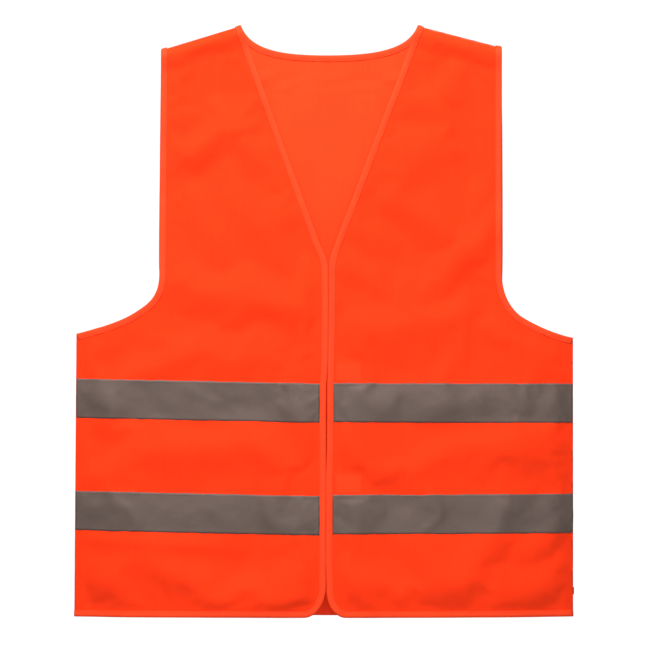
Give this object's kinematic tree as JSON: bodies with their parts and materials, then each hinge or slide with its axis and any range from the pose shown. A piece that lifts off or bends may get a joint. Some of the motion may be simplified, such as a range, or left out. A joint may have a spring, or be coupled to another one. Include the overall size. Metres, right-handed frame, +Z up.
{
  "type": "high visibility vest",
  "caption": "Sleeveless fluorescent orange safety vest with a V neck, bound edges, two grey reflective bands round the body, and an open front closed by small hook-and-loop tabs.",
  "frame": {"origin": "midway between the two neck points, at the height where the shoulder seams start, where a hanger or the wearer's shoulders hold the vest up", "axes": "+Z up from hem to shoulders, +Y towards the wearer's back, +X towards the wearer's left; the front faces -Y"},
  "size_m": [0.6395, 0.0684, 0.7557],
  "materials": {
    "fluorescent_fabric": "matt warp-knitted polyester, fluorescent orange-red",
    "binding": "matt folded polyester binding, fluorescent orange-red",
    "reflective_tape": "glass-bead retroreflective tape, grey away from the light",
    "loop_pile": "brushed loop pile",
    "hooks": "moulded nylon hooks on a woven base",
    "label": "woven satin ribbon"
  },
  "bodies": {
    "vest_body": {"back_panel": "fluorescent_fabric", "right_side_front_panel": "fluorescent_fabric", "left_side_front_panel": "fluorescent_fabric", "neck_binding": "binding", "back_hem_binding": "binding", "right_armhole_binding": "binding", "left_armhole_binding": "binding", "right_side_hem_binding": "binding", "left_side_hem_binding": "binding", "back_upper_tape": "reflective_tape", "back_lower_tape": "reflective_tape", "right_upper_side_tape": "reflective_tape", "right_lower_side_tape": "reflective_tape", "left_upper_side_tape": "reflective_tape", "left_lower_side_tape": "reflective_tape", "right_shoulder_seam": "binding", "left_shoulder_seam": "binding", "right_side_seam": "binding", "left_side_seam": "binding", "seam_label": "label"},
    "right_front": {"right_front_panel": "fluorescent_fabric", "right_front_binding": "binding", "right_upper_front_tape": "reflective_tape", "right_lower_front_tape": "reflective_tape", "upper_tab_base": "binding", "lower_tab_base": "binding"},
    "left_front": {"left_front_panel": "fluorescent_fabric", "left_front_binding": "binding", "left_upper_front_tape": "reflective_tape", "left_lower_front_tape": "reflective_tape", "upper_loop_patch": "loop_pile", "lower_loop_patch": "loop_pile"},
    "upper_tab": {"upper_hook_tab": "binding", "upper_hook_pad": "hooks"},
    "lower_tab": {"lower_hook_tab": "binding", "lower_hook_pad": "hooks"}
  },
  "joints": [
    {"name": "right_front_opens", "type": "hinge", "parent": "vest_body", "child": "right_front", "pos_m": [-0.1106, -0.0028, 0], "axis": [-0.1432, -0.0366, -0.989], "range_deg": [0, 165]},
    {"name": "left_front_opens", "type": "hinge", "parent": "vest_body", "child": "left_front", "pos_m": [0.1153, -0.0028, 0], "axis": [-0.1307, 0.0367, 0.9907], "range_deg": [0, 165]},
    {"name": "upper_tab_turns", "type": "hinge", "parent": "right_front", "child": "upper_tab", "pos_m": [-0.0012, -0.02152, -0.4429], "axis": [0, -0.0423, -0.9991], "range_deg": [0, 168]},
    {"name": "lower_tab_turns", "type": "hinge", "parent": "right_front", "child": "lower_tab", "pos_m": [-0.0012, -0.02755, -0.5855], "axis": [0, -0.0423, -0.9991], "range_deg": [0, 168]}
  ]
}
